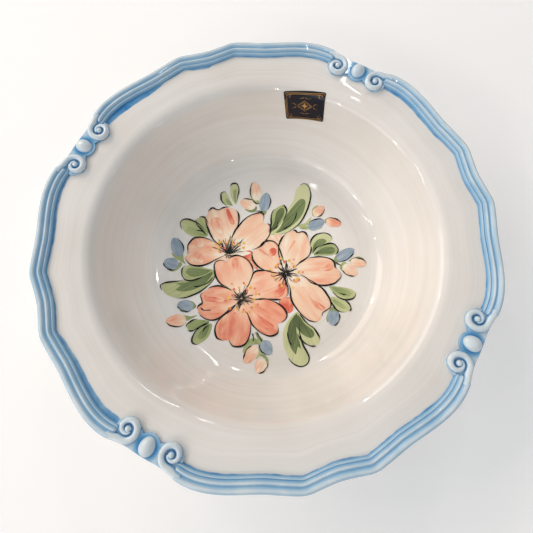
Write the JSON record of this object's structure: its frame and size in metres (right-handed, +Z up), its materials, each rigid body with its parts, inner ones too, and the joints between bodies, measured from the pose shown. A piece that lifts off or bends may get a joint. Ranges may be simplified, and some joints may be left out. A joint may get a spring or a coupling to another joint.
{
  "type": "serving bowl",
  "caption": "Round glazed serving bowl on a foot ring, with a wide flange and a scalloped rim dressed with reeded moulding and scroll cartouches.",
  "frame": {"origin": "centre of the circle that the bowl stands on, at the bottom of the foot ring", "axes": "+Z up along the bowl's axis; +X, +Y, -X and -Y each point through the middle of a cartouche"},
  "size_m": [0.295, 0.295, 0.0752],
  "materials": {
    "cream_glaze": "glossy warm white glaze over fired clay",
    "blue_glaze": "glossy pale blue glaze that pools darker in the grooves",
    "bare_clay": "bare fired clay, dry to the touch",
    "label_paper": "coated paper, navy with a fine gold border",
    "coral_paint": "brushed coral ceramic colour under the glaze",
    "green_paint": "brushed green ceramic colour under the glaze",
    "blue_paint": "brushed grey blue ceramic colour under the glaze",
    "ink_paint": "fine black ceramic colour laid with a liner brush",
    "yellow_paint": "dabs of yellow ceramic colour"
  },
  "bodies": {
    "root": {"bowl_body": "cream_glaze", "foot_ring": "bare_clay", "rim_moulding_back_right": "blue_glaze", "rim_moulding_back_left": "blue_glaze", "rim_moulding_front_left": "blue_glaze", "rim_moulding_front_right": "blue_glaze", "cartouche_plate_right": "blue_glaze", "cartouche_plate_back": "blue_glaze", "cartouche_plate_left": "blue_glaze", "cartouche_plate_front": "blue_glaze", "cartouche_boss_right": "blue_glaze", "cartouche_boss_back": "blue_glaze", "cartouche_boss_left": "blue_glaze", "cartouche_boss_front": "blue_glaze", "scroll_right_ahead": "blue_glaze", "scroll_back_ahead": "blue_glaze", "scroll_left_ahead": "blue_glaze", "scroll_front_ahead": "blue_glaze", "scroll_right_behind": "blue_glaze", "scroll_back_behind": "blue_glaze", "scroll_left_behind": "blue_glaze", "scroll_front_behind": "blue_glaze", "paper_label": "label_paper"}
  },
  "joints": []
}
